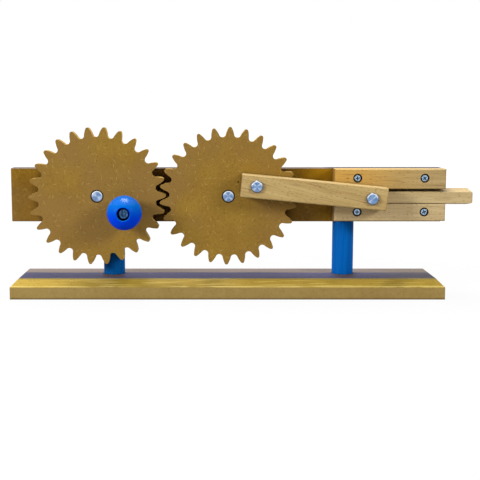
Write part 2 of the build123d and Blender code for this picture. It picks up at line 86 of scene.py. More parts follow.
# %% Wires: sockets that can be added and multiplied
class Wire:
    """One output of a node, which takes part in sums."""

    def __init__(self, wiring, socket):
        self.wiring = wiring
        self.socket = socket

    def __getitem__(self, output):
        """Another output of the same node, by name."""
        return Wire(self.wiring, self.socket.node.outputs[output])

    def join(self, operation, other, swapped=False):
        """This wire and another wire or number, through one Math or Vector Math node."""
        is_vector = self.socket.type == "VECTOR"
        if isinstance(other, Wire):
            is_vector = is_vector or other.socket.type == "VECTOR"
        elif is_vector:
            other = (other, other, other)
        kind = "ShaderNodeVectorMath" if is_vector else "ShaderNodeMath"
        pair = (other, self) if swapped else (self, other)
        return self.wiring.node(kind, {"operation": operation}, dict(enumerate(pair)))

    def __add__(self, other):
        return self.join("ADD", other)

    def __radd__(self, other):
        return self.join("ADD", other, swapped=True)

    def __sub__(self, other):
        return self.join("SUBTRACT", other)

    def __rsub__(self, other):
        return self.join("SUBTRACT", other, swapped=True)

    def __mul__(self, other):
        return self.join("MULTIPLY", other)

    def __rmul__(self, other):
        return self.join("MULTIPLY", other, swapped=True)

    def __truediv__(self, other):
        return self.join("DIVIDE", other)

    def __rtruediv__(self, other):
        return self.join("DIVIDE", other, swapped=True)

    def __gt__(self, level):
        """1 where the wire is above a level, and 0 elsewhere."""
        return self.join("GREATER_THAN", level)

    def __lt__(self, level):
        """1 where the wire is below a level, and 0 elsewhere."""
        return self.join("LESS_THAN", level)

    def __abs__(self):
        return self.wiring.node("ShaderNodeMath", {"operation": "ABSOLUTE"}, {0: self})

    def at_least(self, other):
        """The greater of this wire and another."""
        return self.join("MAXIMUM", other)

    def fade(self, start, end):
        """Goes smoothly from 0 to 1 as the wire goes from start to end."""
        return self.wiring.node("ShaderNodeMapRange", {"interpolation_type": "SMOOTHSTEP"}, {
            "Value": self, "From Min": start, "From Max": end})


print("wires can be joined by + - * / > < and faded")

# %% [markdown]
# The second class, `Wiring`, is a node tree. One method makes any node from its type, its settings
# and the values or wires of its inputs. Colours never pass through a Math node, which would turn
# them grey. They are laid over each other by a mixing node, which has a method of its own.

# %% Wiring: a node tree with one method for any node
class Wiring:
    """A node tree that is being wired up."""

    def __init__(self, tree):
        self.tree = tree

    def node(self, kind, settings=None, inputs=None, output=0):
        """Any node: its settings first, then its inputs, and one of its outputs as a wire."""
        made = self.tree.nodes.new(kind)
        for name, value in (settings or {}).items():
            setattr(made, name, value)
        for name, value in (inputs or {}).items():
            self.feed(made, name, value)
        return Wire(self, self.pick(made.outputs, output)) if made.outputs else None

    def pick(self, sockets, name):
        """One of a node's sockets, by number, name or identifier."""
        if isinstance(name, int):
            return sockets[name]
        return next(s for s in sockets if name in (s.identifier, s.name))

    def feed(self, node, name, value):
        """Give a node's input a value or a wire."""
        socket = self.pick(node.inputs, name)
        if isinstance(value, Wire):
            self.tree.links.new(value.socket, socket)
        elif socket.type == "RGBA":
            socket.default_value = (*value, 1.0)
        else:
            socket.default_value = value

    def blend(self, share, first, second):
        """The second colour over the first, by a share from 0 to 1."""
        return self.node("ShaderNodeMix", {"data_type": "RGBA"}, {
            "Factor_Float": share, "A_Color": first, "B_Color": second}, output="Result_Color")


print("a wiring makes nodes from a type, settings and inputs")

# %% [markdown]
# Colours are written as the photograph shows them, with each part from 0 to 255. A photograph
# brightens its middle tones and a shader doesn't, so a small function takes that out again.

# %% Colours
FULL_LEVEL = 255
PHOTO_GAMMA = 2.2


def colour(red, green, blue):
    """A colour of the photograph, made linear for the shaders."""
    return tuple((level / FULL_LEVEL) ** PHOTO_GAMMA for level in (red, green, blue))


print("a mid brown in linear light:", [round(level, 3) for level in colour(146, 113, 48)])

# %% [markdown]
# ## The studio
# The photograph has a pure white ground. The world could simply be white, but then it would flood
# the toy with light. So rays from the camera, mirror rays and rays through glass see white, and the
# light that the world sheds on the toy stays low and a little blue, as the photograph's shadows are.

# %% World
STUDIO_WHITE = (1.0, 1.0, 1.0)
FILL_TINT = (0.95, 0.92, 1.2)
WORLD_FILL = 0.16


def seen_directly(wiring):
    """1 where a ray comes from the camera, a mirror or glass, and 0 elsewhere."""
    path = wiring.node("ShaderNodeLightPath")
    mirrors = path["Is Glossy Ray"].at_least(path["Is Transmission Ray"])
    return path["Is Camera Ray"].at_least(mirrors)


world = bpy.data.worlds.new("studio")
world.use_nodes = True
world.node_tree.nodes.clear()
bpy.context.scene.world = world
room = Wiring(world.node_tree)
fill_light = room.node("ShaderNodeBackground", None, {"Color": FILL_TINT, "Strength": WORLD_FILL})
white_ground = room.node("ShaderNodeBackground", None, {"Color": STUDIO_WHITE, "Strength": 1.0})
room_light = room.node("ShaderNodeMixShader", None, {
    0: seen_directly(room), 1: fill_light, 2: white_ground})
room.node("ShaderNodeOutputWorld", None, {"Surface": room_light})
print("world: fill light of strength", WORLD_FILL)

# %% [markdown]
# A white floor under soft lamps is never quite white. So the floor is grey paper with some glow of
# its own, which only the rays that look at it directly see. Near the toy a share of the paper stays,
# which keeps a faint shadow there, and further off the glow covers it.

# %% Floor
FLOOR_HALF_WIDTH = 6.0
PAPER_GREY = (0.35, 0.35, 0.35)
FLOOR_GLOW = 1.08
GLOW_SHARE_AT_TOY = 0.86
SHADOW_FULL = 0.25
SHADOW_GONE = 0.8

floor_mesh = bmesh.new()
bmesh.ops.create_grid(floor_mesh, x_segments=1, y_segments=1, size=FLOOR_HALF_WIDTH)
floor_data = bpy.data.meshes.new("studio_floor")
floor_mesh.to_mesh(floor_data)
floor_mesh.free()
floor = bpy.data.objects.new("studio_floor", floor_data)
bpy.context.scene.collection.objects.link(floor)

floor_finish = bpy.data.materials.new("studio_floor")
floor_finish.use_nodes = True
floor_finish.node_tree.nodes.clear()
ground = Wiring(floor_finish.node_tree)
paper = ground.node("ShaderNodeBsdfDiffuse", None, {"Color": PAPER_GREY})
glow = ground.node("ShaderNodeEmission", None, {"Color": STUDIO_WHITE, "Strength": FLOOR_GLOW})
floor_place = ground.node("ShaderNodeTexCoord")["Object"]
from_toy = ground.node("ShaderNodeVectorMath", {"operation": "LENGTH"}, {0: floor_place}, output="Value")
glow_share = GLOW_SHARE_AT_TOY + from_toy.fade(SHADOW_FULL, SHADOW_GONE) * (1 - GLOW_SHARE_AT_TOY)
floor_light = ground.node("ShaderNodeMixShader", None, {
    0: seen_directly(ground) * glow_share, 1: paper, 2: glow})
ground.node("ShaderNodeOutputMaterial", None, {"Surface": floor_light})
floor_data.materials.append(floor_finish)
print(f"floor: the shadow is gone {SHADOW_GONE} m from the toy's middle")

# %% [markdown]
# Two large softboxes stand to the left and the right, because the ball knob throws two soft shadows
# on the gear, low on each side of it. A third softbox hangs above: it draws the highlight near the
# ball's top and the gloss along the base board's chamfer.

# %% Softboxes
LIT_POINT = Vector((0.0, -0.01, 0.09))


def softbox(name, place, width, height, watts):
    """A rectangular lamp that looks at the middle of the toy."""
    lamp = bpy.data.lights.new(name, "AREA")
    lamp.shape = "RECTANGLE"
    lamp.size = width
    lamp.size_y = height
    lamp.energy = watts
    stand = bpy.data.objects.new(name, lamp)
    stand.location = place
    stand.rotation_euler = (LIT_POINT - Vector(place)).to_track_quat("-Z", "Y").to_euler()
    bpy.context.scene.collection.objects.link(stand)
    print(f"{name}: {watts} W from {place}")


softbox("left_softbox", place=(-1.78, -1.08, 0.83), width=0.6, height=0.6, watts=40)
softbox("right_softbox", place=(1.65, -1.2, 0.99), width=0.6, height=0.6, watts=24)
softbox("overhead_softbox", place=(-0.1, 0.3, 1.5), width=0.7, height=1.2, watts=24)

# %% [markdown]
# ## A finish
# Every finish is one Principled shader and some patterns. The patterns are laid out in millimetres
# in the toy's own frame, so a fibre that is 2 mm long on the real board is 2 mm here, and they stay
# on their piece when it turns. A `Finish` holds the shader, the place on the piece and the way the
# surface faces. It knows the two patterns that the finishes share, soft noise and cells, and how to
# raise a surface, ease its edges and find its crevices.

# %% Finish: a shader with patterns in millimetres
EDGE_SAMPLES = 6
CREVICE_SAMPLES = 8
CLOSED_SHARE = 0.1


class Finish(Wiring):
    """A material under construction, with its place on the piece in millimetres."""

    def __init__(self, name, sockets):
        self.material = bpy.data.materials.new(name)
        self.material.use_nodes = True
        super().__init__(self.material.node_tree)
        self.shader = self.tree.nodes["Principled BSDF"]
        self.paint(sockets)
        coordinates = self.node("ShaderNodeTexCoord")
        self.place = coordinates["Object"] * (1 / MM)
        self.facing = self.axes(coordinates["Normal"])
        self.at = self.axes(self.place)

    def paint(self, sockets):
        """Give the shader's sockets their values or wires."""
        for name, value in sockets.items():
            self.feed(self.shader, name, value)

    def axes(self, vector):
        """A vector's X, Y and Z."""
        return self.node("ShaderNodeSeparateXYZ", None, {0: vector})

    def stretched(self, size, place=None):
        """The place on the piece, divided by one length or by a length for each axis."""
        sizes = (size, size, size) if isinstance(size, float) else size
        return self.node("ShaderNodeVectorMath", {"operation": "DIVIDE"}, {
            0: place or self.place, 1: sizes})

    def noise(self, size, detail=2.0, place=None):
        """Soft noise from 0 to 1 with this grain size."""
        return self.node("ShaderNodeTexNoise", None, {
            "Vector": self.stretched(size, place), "Scale": 1.0, "Detail": detail})

    def cells(self, size, place=None):
        """Cells of this size. The wire is the distance from the nearest cell's centre."""
        return self.node("ShaderNodeTexVoronoi", None, {
            "Vector": self.stretched(size, place), "Scale": 1.0})

    def relief(self, height, edge_radius=0.0):
        """Raise the surface by a height in millimetres, and ease its edges by a radius."""
        inputs = {"Height": height, "Distance": MM}
        if edge_radius:
            inputs["Normal"] = self.node("ShaderNodeBevel", {"samples": EDGE_SAMPLES}, {
                "Radius": edge_radius * MM})
        self.paint({"Normal": self.node("ShaderNodeBump", None, inputs)})

    def crevice(self, reach, open_share=0.8):
        """A mask for painted shade: from 0 in the open to 1 where other surfaces within this reach hem
        the spot in.
        """
        openness = self.node("ShaderNodeAmbientOcclusion", {"samples": CREVICE_SAMPLES}, {
            "Distance": reach * MM}, output="AO")
        return openness.fade(open_share, CLOSED_SHARE)


print("a crevice is found with", CREVICE_SAMPLES, "rays, an edge with", EDGE_SAMPLES)

# %% [markdown]
# ## Fibreboard
# Medium density fibreboard is felted wood fibre. From arm's length it is one golden brown, but up
# close it shows clouds of lighter and darker felt, pale shives that lie in the board's plane, each
# its own way, and dark specks of bark. A picture of a board could give them, but it would repeat or
# blur. So they are drawn: the face is cut into cells, each cell gets a random turn, and the distance
# along and across that turn draws one short stroke, a shive.

# %% Shives
SHIVE_TAPER = 0.5
SHIVE_SIDE_BLUR = 0.3


def shives(finish, across, along, spacing, length, width, share):
    """Short pale strokes in a board's face, one to a cell, each turned its own way."""
    ground = finish.node("ShaderNodeCombineXYZ", None, {
        "X": across * (1 / spacing), "Y": along * (1 / spacing)})
    cell = finish.node("ShaderNodeTexVoronoi", {"voronoi_dimensions": "2D"}, {
        "Vector": ground, "Scale": 1.0})
    chance = finish.axes(cell["Color"])
    turn = chance["X"] * (2 * pi)
    cosine = finish.node("ShaderNodeMath", {"operation": "COSINE"}, {0: turn})
    sine = finish.node("ShaderNodeMath", {"operation": "SINE"}, {0: turn})
    offset = finish.axes(ground - cell["Position"])
    lengthwise = offset["X"] * cosine + offset["Y"] * sine
    sidewise = offset["Y"] * cosine - offset["X"] * sine
    half_length = length / spacing / 2
    half_width = width / spacing / 2
    stroke = abs(lengthwise).fade(half_length, half_length * SHIVE_TAPER)
    stroke = stroke * abs(sidewise).fade(half_width, half_width * SHIVE_SIDE_BLUR)
    return stroke * (chance["Y"] > 1 - share)


print(f"a shive fades over {1 - SHIVE_TAPER:.0%} of its half length")

# %% [markdown]
# Specks are the middles of some of the cells. The clouds are noise in two sizes. Noise seldom goes
# below 0.3 or above 0.7, so its range is widened to the whole way from one tone to the other.

# %% Specks and clouds
SPECK_RIM = 0.34
SPECK_CORE = 0.16
CLOUD_FINENESS = 9
NOISE_RANGE = (0.3, 0.7)


def specks(finish, size, share):
    """Small dark dots, in a share of the cells."""
    cell = finish.cells(size)
    chance = finish.axes(cell["Color"])
    return cell.fade(SPECK_RIM, SPECK_CORE) * (chance["Z"] > 1 - share)


def clouds(finish, size):
    """Felt that is lighter and darker in soft patches, from 0 to 1."""
    broad = finish.noise(size, detail=3.0)
    fine = finish.noise(size / CLOUD_FINENESS, detail=3.0)
    return (broad * 0.5 + fine * 0.5).fade(*NOISE_RANGE)


print(f"specks are at most {2 * SPECK_RIM:.2f} of their cells' size wide")

# %% [markdown]
# One function makes the board for the gears, the beam and the spacers. They stand upright, so their
# face's plane is X and Z. A cut edge shows the ends of the fibres, so there the strokes fade and the
# edge has a tone of its own. Painted shade darkens the crevices last, over everything.

# %% Upright fibreboard
# Painted shade for crevices and gaps that other surfaces hem in.
CREVICE_SHADE = colour(26, 14, 6)
FACE_NOT_EDGE = (0.5, 0.9)


def fibreboard(name, pale, deep, brown, shive, bark, edge_tone, crevice, marks):
    """Bare fibreboard whose face looks along Y. The crevice is a reach and an open share."""
    board = Finish(name, {"Roughness": 0.72, "Specular IOR Level": 0.12})
    face = abs(board.facing["Y"]).fade(*FACE_NOT_EDGE)
    felt = board.blend(clouds(board, 24.0), deep, pale)
    felt = board.blend(board.noise(80.0).fade(0.4, 0.62) * 0.7, felt, brown)
    felt = board.blend(board.noise(0.7, detail=1.0).fade(0.35, 0.7) * 0.2, felt, deep)
    x, z = board.at["X"], board.at["Z"]
    long_shives = shives(board, x, z, spacing=6.0, length=4.6, width=0.5, share=0.32)
    short_shives = shives(board, z, x, spacing=2.9, length=1.9, width=0.4, share=0.2)
    strokes = long_shives.at_least(short_shives * 0.5) * face
    felt = board.blend(strokes * 0.55, felt, shive)
    bark_specks = specks(board, 2.1, share=0.3).at_least(specks(board, 1.1, share=0.1))
    felt = board.blend(bark_specks * 0.45, felt, bark)
    felt = board.blend((1.0 - face) * 0.7, felt, edge_tone)
    felt = marks(board, felt)
    # Painted shade in the crevices.
    felt = board.blend(board.crevice(*crevice) * 0.9, felt, CREVICE_SHADE)
    board.paint({"Base Color": felt})
    board.relief(clouds(board, 3.0) * 0.04 + strokes * 0.03, edge_radius=0.35)
    print(f"{name}: {len(board.tree.nodes)} nodes")
    return board


# %% [markdown]
# Some marks belong to a place: a ring of painted shade round a pin's head, a knot near a strip's end.
# Most of them are placed from the pieces' own boxes, so they follow when the construction model changes.

# %% Places on the pieces, in millimetres
def box_mm(piece):
    """A piece's lowest and highest corners in millimetres."""
    low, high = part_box(piece)
    return low / MM, high / MM


def from_axis(finish, middle):
    """How far a spot lies to the right of an axis along Y, and how far above it."""
    return finish.at["X"] - middle.x, finish.at["Z"] - middle.z


def distance_squared(across, upright):
    """A distance squared, which draws a ring as well as the distance does and needs no root."""
    return across * across + upright * upright


print("the base board's top lies at", round(box_mm("base_board")[1].z, 1), "mm")

# %% [markdown]
# The gears turn against the sunk heads of their axle pins. Shade is painted round each head, in a
# ring about a millimetre wide. The spacers behind the gears are cut from the same board.

# %% The gears' board
HEAD_SHADE_MM = 1.2


def head_ring_shade(board, felt):
    """Painted shade in a dark ring round the head of each axle pin."""
    for pin in ("drive_axle_pin", "driven_axle_pin"):
        low, high = box_mm(pin)
        head_radius = (high.x - low.x) / 2
        outer_radius = head_radius + HEAD_SHADE_MM
        from_pin = distance_squared(*from_axis(board, (low + high) / 2))
        ring = from_pin.fade(outer_radius ** 2, head_radius ** 2)
        felt = board.blend(ring * 0.85, felt, CREVICE_SHADE)
    return felt


# The gears' paler edge tone is partly the cut fibre's own and partly a painted highlight of the teeth's
# upper flanks.
gear_board = fibreboard(
    "gear_fibreboard", pale=colour(155, 122, 50), deep=colour(137, 105, 45),
    brown=colour(140, 108, 60), shive=colour(208, 178, 104), bark=colour(84, 60, 24),
    edge_tone=colour(196, 162, 84), crevice=(4.0, 0.8), marks=head_ring_shade)

# %% [markdown]
# The beam is a darker, warmer board. Its upper face carries a painted grey reflection, which is
# darker behind the guide strips. In front, a pool of warm light is painted beside the strips. The
# beam stands some millimetres behind the gears, so its crevices reach further than theirs, and
# painted shade darkens it there.

# %% The beam's board
REFLECTION_DARKENS_MM = 12.0
WARM_LIGHT_X_MM = (66.0, 82.0)
WARM_LIGHT_Z_MM = (98.0, 110.0)
TOP_NOT_FACE = (0.5, 0.8)
FACES_DOWN_AN_AXIS = (-0.5, -0.9)


def top_reflection_and_warm_light(board, felt):
    """A painted grey reflection on top, darker behind the strips, and painted warm light in front,
    beside them.
    """
    strip_start = box_mm("upper_guide_strip")[0].x
    behind_strips = board.at["X"].fade(strip_start - REFLECTION_DARKENS_MM, strip_start)
    painted_reflection = board.blend(behind_strips, colour(132, 126, 126), colour(66, 70, 88))
    golden = board.at["X"].fade(*WARM_LIGHT_X_MM) * board.at["Z"].fade(*WARM_LIGHT_Z_MM)
    golden = golden * board.facing["Y"].fade(*FACES_DOWN_AN_AXIS)
    # A painted pool of warm light on the front, beside the strips.
    felt = board.blend(golden * 0.75, felt, colour(162, 117, 8))
    # The painted reflection covers the upper faces.
    return board.blend(board.facing["Z"].fade(*TOP_NOT_FACE) * 0.9, felt, painted_reflection)


beam_board = fibreboard(
    "beam_fibreboard", pale=colour(152, 115, 36), deep=colour(126, 92, 26),
    brown=colour(134, 102, 52), shive=colour(196, 164, 80), bark=colour(70, 50, 20),
    edge_tone=colour(148, 116, 84), crevice=(26.0, 0.66), marks=top_reflection_and_warm_light)

# %% [markdown]
# ## The base board
# The base is fibreboard too, and one finish covers it. Three faces meet in it, and the way the
# surface faces tells them apart: the upright front and back, which face up by 0, the chamfer, by 0.7,
# and the top, by 1. Three finishes on separate faces would do as well, but with hard seams.
#
# The front is a flat tan with many small shives, and painted shade darkens its last two millimetres.

# %% Base board: the faces and the front
CHAMFER_FACES_UP = (0.3, 0.5)
TOP_FACES_UP = (0.8, 0.95)
FOOT_SHADE_MM = (2.2, 0.4)

base_finish = Finish("varnished_base", {
    "Roughness": 0.6, "Specular IOR Level": 0.08, "Coat Roughness": 0.25, "Coat IOR": 1.4})
x, y, z = base_finish.at["X"], base_finish.at["Y"], base_finish.at["Z"]
board_top = box_mm("base_board")[1].z
upward = base_finish.facing["Z"]
top_face = upward.fade(*TOP_FACES_UP)
chamfer_face = upward.fade(*CHAMFER_FACES_UP) * (1.0 - top_face)

front_tone = base_finish.blend(clouds(base_finish, 40.0), colour(154, 128, 73), colour(164, 139, 83))
front_strokes = shives(base_finish, x, z, spacing=4.0, length=2.6, width=0.4, share=0.45)
front_tone = base_finish.blend(front_strokes * 0.25, front_tone, colour(202, 176, 112))
front_tone = base_finish.blend(z.fade(*FOOT_SHADE_MM) * 0.6, front_tone, colour(112, 86, 50))
print("base board: front shaded below", FOOT_SHADE_MM[0], "mm")

# %% [markdown]
# The chamfer is the only part under varnish, golden and a little glossy. Fine painted highlight streaks
# run with each edge, so they turn at the board's ends. Painted light brightens the left end, the upper
# rim is dull, and a painted highlight, a pale broken line, follows the lower edge.

# %% Base board: the chamfer
CHAMFER_MM = 8.0
LEFT_LIGHT_X_MM = (-120.0, -190.0)
RIM_STARTS_MM = 1.8
RIM_FULL_MM = 0.4
LOWER_LINE_RISE_MM = 0.8
LOWER_LINE_MM = (0.9, 0.2)
STREAK_LENGTH_MM = 40.0
STREAK_WIDTH_MM = 1.3
STREAK_RANGE = (0.5, 0.72)

gold_bands = base_finish.noise((46.0, 30.0, 30.0)).fade(0.36, 0.64)
chamfer_tone = base_finish.blend(gold_bands, colour(136, 113, 42), colour(168, 140, 58))
at_board_end = abs(base_finish.facing["X"]).fade(0.3, 0.5)
along_side = (STREAK_LENGTH_MM, STREAK_WIDTH_MM, STREAK_WIDTH_MM)
along_end = (STREAK_WIDTH_MM, STREAK_LENGTH_MM, STREAK_WIDTH_MM)
side_streaks = base_finish.noise(along_side, detail=1.0).fade(*STREAK_RANGE)
end_streaks = base_finish.noise(along_end, detail=1.0).fade(*STREAK_RANGE)
painted_highlight_streaks = side_streaks * (1.0 - at_board_end) + end_streaks * at_board_end
chamfer_tone = base_finish.blend(painted_highlight_streaks * 0.5, chamfer_tone, colour(214, 188, 100))
painted_left_light = x.fade(*LEFT_LIGHT_X_MM)
chamfer_tone = base_finish.blend(painted_left_light * 0.5, chamfer_tone, colour(210, 176, 80))
rim = z.fade(board_top - RIM_STARTS_MM, board_top - RIM_FULL_MM)
chamfer_tone = base_finish.blend(rim * 0.6, chamfer_tone, colour(118, 112, 74))
painted_lower_highlight = abs(z - (board_top - CHAMFER_MM + LOWER_LINE_RISE_MM)).fade(*LOWER_LINE_MM)
line_breaks = base_finish.noise((30.0, 4.0, 4.0)).fade(0.35, 0.6)
chamfer_tone = base_finish.blend(painted_lower_highlight * line_breaks * 0.6, chamfer_tone, colour(226, 202, 118))
print("base board: chamfer from", round(board_top - CHAMFER_MM, 1), "to", round(board_top, 1), "mm")

# %% [markdown]
# The top is dull under a painted blue-grey reflection, which ends in a wandering edge in line with the
# posts. Past it the board shows a warmer grey. In a band at each post the painted reflection gives way
# to painted brown shade. At the right end both are browner.

# %% Base board: the top
REFLECTION_END_MM = 5.0
REFLECTION_END_BLUR_MM = 3.0
REFLECTION_WANDERS_MM = 6.0
POST_BAND_X_MM = (11.5, 8.5)
POST_BAND_Y_MM = (-26.0, -18.0)
BROWNER_X_MM = (130.0, 190.0)

reflection_edge = y + (base_finish.noise(60.0) - 0.5) * REFLECTION_WANDERS_MM
past_reflection = reflection_edge.fade(REFLECTION_END_MM - REFLECTION_END_BLUR_MM, REFLECTION_END_MM + REFLECTION_END_BLUR_MM)
painted_reflection = base_finish.blend(clouds(base_finish, 40.0), colour(76, 75, 103), colour(88, 85, 112))
for post in ("left_post", "right_post"):
    low, high = box_mm(post)
    from_post = abs(x - (low.x + high.x) / 2)
    post_shade = from_post.fade(*POST_BAND_X_MM) * y.fade(*POST_BAND_Y_MM)
    # Painted brown shade in a band at each post.
    painted_reflection = base_finish.blend(post_shade * 0.75, painted_reflection, colour(96, 78, 58))
top_tone = base_finish.blend(past_reflection, painted_reflection, colour(139, 126, 118))
top_tone = base_finish.blend(x.fade(*BROWNER_X_MM) * 0.45, top_tone, colour(92, 84, 66))
print("base board: wash up to y =", REFLECTION_END_MM, "mm")

# %% [markdown]
# The three faces are laid over each other, and specks and painted crevice shade go over all of them.

# %% Base board: the faces together
base_tone = base_finish.blend(chamfer_face, front_tone, chamfer_tone)
base_tone = base_finish.blend(top_face, base_tone, top_tone)
base_tone = base_finish.blend(specks(base_finish, 2.0, share=0.35) * 0.4, base_tone, colour(90, 68, 34))
# Painted shade in the crevices, as at the posts' feet.
base_tone = base_finish.blend(base_finish.crevice(5.0) * 0.8, base_tone, CREVICE_SHADE)
base_finish.paint({"Base Color": base_tone, "Coat Weight": chamfer_face * 0.2})
base_finish.relief(clouds(base_finish, 3.0) * 0.03, edge_radius=1.2)
print("varnished_base:", len(base_finish.tree.nodes), "nodes")

# %% [markdown]
# ## Beech
# Beech is pale and close grained. Its mark is the fleck: dark dashes, two or three millimetres long
# and less than one wide, that follow the grain. Cells stretched along the grain give the dashes, and
# noise stretched even further gives the bands of the growth rings and the fine lines between them.
# The grain of the link runs at a slant, so the pattern's place is turned before it is stretched.
# End grain is darker, with open pores. Painted light brightens the faces that look up, painted
# shade darkens the ends that face left, and it is darkest in the slide's gaps.

# %% Beech finish
BEECH_FLECK = colour(120, 88, 48)
PAINTED_TOP_LIGHT = colour(236, 208, 150)
INNER_END_SHADE = colour(84, 54, 8)
SLIDE_GAP_SHADE = colour(64, 28, 6)
RING_SIZE_MM = (150.0, 4.5, 4.5)
LINE_SIZE_MM = (45.0, 0.6, 0.6)
FLECK_SIZE_MM = (4.6, 1.1, 1.1)
PORE_SIZE_MM = 0.5
GRAIN_BEND_MM = 3.0
UPPER_EDGE = (0.3, 0.8)
END_NOT_SIDE = (0.6, 0.9)


def beech(name, pale, deep, fleck_share, slant=0.0, marks=None):
    """Planed beech with its grain along X, turned by a slant about Y."""
    wood = Finish(name, {"Roughness": 0.55, "Specular IOR Level": 0.2})
    grain = wood.node("ShaderNodeVectorRotate", {"rotation_type": "Y_AXIS"}, {
        "Vector": wood.place, "Angle": slant})
    bend = wood.noise((70.0, 25.0, 25.0)) * GRAIN_BEND_MM
    grain = grain + wood.node("ShaderNodeCombineXYZ", None, {"Z": bend, "Y": bend})
    rings = wood.noise(RING_SIZE_MM, place=grain).fade(*NOISE_RANGE)
    lines = wood.noise(LINE_SIZE_MM, place=grain).fade(0.35, 0.75)
    cell = wood.cells(FLECK_SIZE_MM, place=grain)
    chance = wood.axes(cell["Color"])
    flecks = cell.fade(0.36, 0.14) * (chance["X"] > 1 - fleck_share)
    tone = wood.blend(rings * 0.7, pale, deep)
    tone = wood.blend(lines * 0.35, tone, deep)
    if marks:
        tone = marks(wood, tone)
    tone = wood.blend(lines.fade(0.55, 1.0) * 0.5, tone, BEECH_FLECK)
    tone = wood.blend(flecks * 0.6, tone, BEECH_FLECK)
    # Painted light on faces that look up.
    tone = wood.blend(wood.facing["Z"].fade(*UPPER_EDGE) * 0.15, tone, PAINTED_TOP_LIGHT)
    end_grain = abs(wood.facing["X"]).fade(*END_NOT_SIDE)
    pores = wood.cells(PORE_SIZE_MM).fade(0.35, 0.1)
    # Painted shade on ends that face left.
    end_tone = wood.blend(wood.facing["X"].fade(*FACES_DOWN_AN_AXIS), BEECH_FLECK, INNER_END_SHADE)
    tone = wood.blend(end_grain * (0.6 + pores * 0.3), tone, end_tone)
    # Painted shade in the slide's gaps and other crevices.
    tone = wood.blend(wood.crevice(4.5) * 0.92, tone, SLIDE_GAP_SHADE)
    wood.paint({"Base Color": tone})
    wood.relief(lines * 0.03 - flecks * 0.05, edge_radius=0.6)
    print(f"{name}: {len(wood.tree.nodes)} nodes")
    return wood


# %% [markdown]
# The link, the slider and the two guide strips are cut from different planks. The link is full of
# flecks, the lower strip is the palest, and the upper strip turns honey brown towards the gears, with
# a small knot near that end.

# %% Four cuts of beech
LINK_SLANT = radians(-14.0)
KNOT_FROM_END_MM = 12.9
KNOT_BELOW_TOP_MM = 9.0
KNOT_HALF_LENGTH_MM = 1.8
KNOT_HALF_HEIGHT_MM = 0.8


def honey_end(wood, tone):
    """Honey brown towards the gears, and a knot."""
    low, high = box_mm("upper_guide_strip")
    tone = wood.blend(wood.at["X"].fade(high.x, low.x) * 0.8, tone, colour(202, 156, 70))
    knot_middle = Vector((low.x + KNOT_FROM_END_MM, 0.0, high.z - KNOT_BELOW_TOP_MM))
    across, upright = from_axis(wood, knot_middle)
    across = across * (1 / KNOT_HALF_LENGTH_MM)
    upright = upright * (1 / KNOT_HALF_HEIGHT_MM)
    knot = distance_squared(across, upright).fade(1.4, 0.2)
    return wood.blend(knot * 0.7, tone, BEECH_FLECK)


link_beech = beech("link_beech", pale=colour(197, 170, 112), deep=colour(170, 140, 84),
                   fleck_share=0.55, slant=LINK_SLANT)
slider_beech = beech("slider_beech", pale=colour(203, 179, 129), deep=colour(182, 156, 107),
                     fleck_share=0.3)
lower_guide_beech = beech("lower_guide_beech", pale=colour(208, 183, 135),
                          deep=colour(188, 162, 113), fleck_share=0.3)
upper_guide_beech = beech("upper_guide_beech", pale=colour(186, 160, 108),
                          deep=colour(162, 135, 86), fleck_share=0.35, marks=honey_end)

# %% [markdown]
# ## Blue paint
# The posts are dowels under thin satin paint, which sinks into the wood and shows the brush's upright
# marks. Shade is painted into the corner where a post meets a board. The left post stands behind a
# gear, so its blue is a little darker, as painted shade, and each post has a blue of its own.

# %% Painted dowels
CORNER_SHADE = colour(10, 34, 40)


def painted_dowel(name, light, deep):
    """Thin satin paint with upright brush marks, and painted shade where it meets a board."""
    paint = Finish(name, {"Roughness": 0.5, "Specular IOR Level": 0.05})
    brush = paint.noise((1.2, 1.2, 40.0), detail=3.0).fade(*NOISE_RANGE)
    tone = paint.blend(brush, deep, light)
    paint.paint({"Base Color": paint.blend(paint.crevice(3.0) * 0.85, tone, CORNER_SHADE)})
    paint.relief(brush * 0.05)
    print(f"{name}: {len(paint.tree.nodes)} nodes")
    return paint


# The left post's darker blue is painted shade of the gear in front of it.
left_post_paint = painted_dowel("left_post_paint", light=colour(0, 98, 170), deep=colour(0, 84, 148))
right_post_paint = painted_dowel("right_post_paint", light=colour(0, 104, 188), deep=colour(0, 90, 170))

# %% [markdown]
# The ball knob has thicker paint with a gloss coat. The gloss is left only on the crown, because
# hands have rubbed the rest to satin. The blue is painted deeper underneath, as shade, and its
# crevices are painted near black, as shade.

# %% The knob's paint
GLOSS_CROWN = (0.42, 0.62)
UNDERSIDE = (0.6, -0.25)

knob_paint = Finish("knob_paint", {
    "Roughness": 0.4, "Coat Roughness": 0.2, "Specular IOR Level": 0.02})
dabs = knob_paint.noise(9.0)
# Painted shade: the blue is deeper underneath.
underside = (knob_paint.facing["Z"] + dabs * 0.2).fade(*UNDERSIDE)
blue = knob_paint.blend(underside, colour(0, 102, 198), colour(0, 66, 218))
# Painted shade in the crevices, such as the screw's recess.
knob_paint.paint({"Base Color": knob_paint.blend(knob_paint.crevice(9.0), blue, colour(0, 8, 24)),
                  "Coat Weight": knob_paint.facing["Z"].fade(*GLOSS_CROWN) * 0.5})
knob_paint.relief(dabs * 0.01)
print("knob_paint:", len(knob_paint.tree.nodes), "nodes")

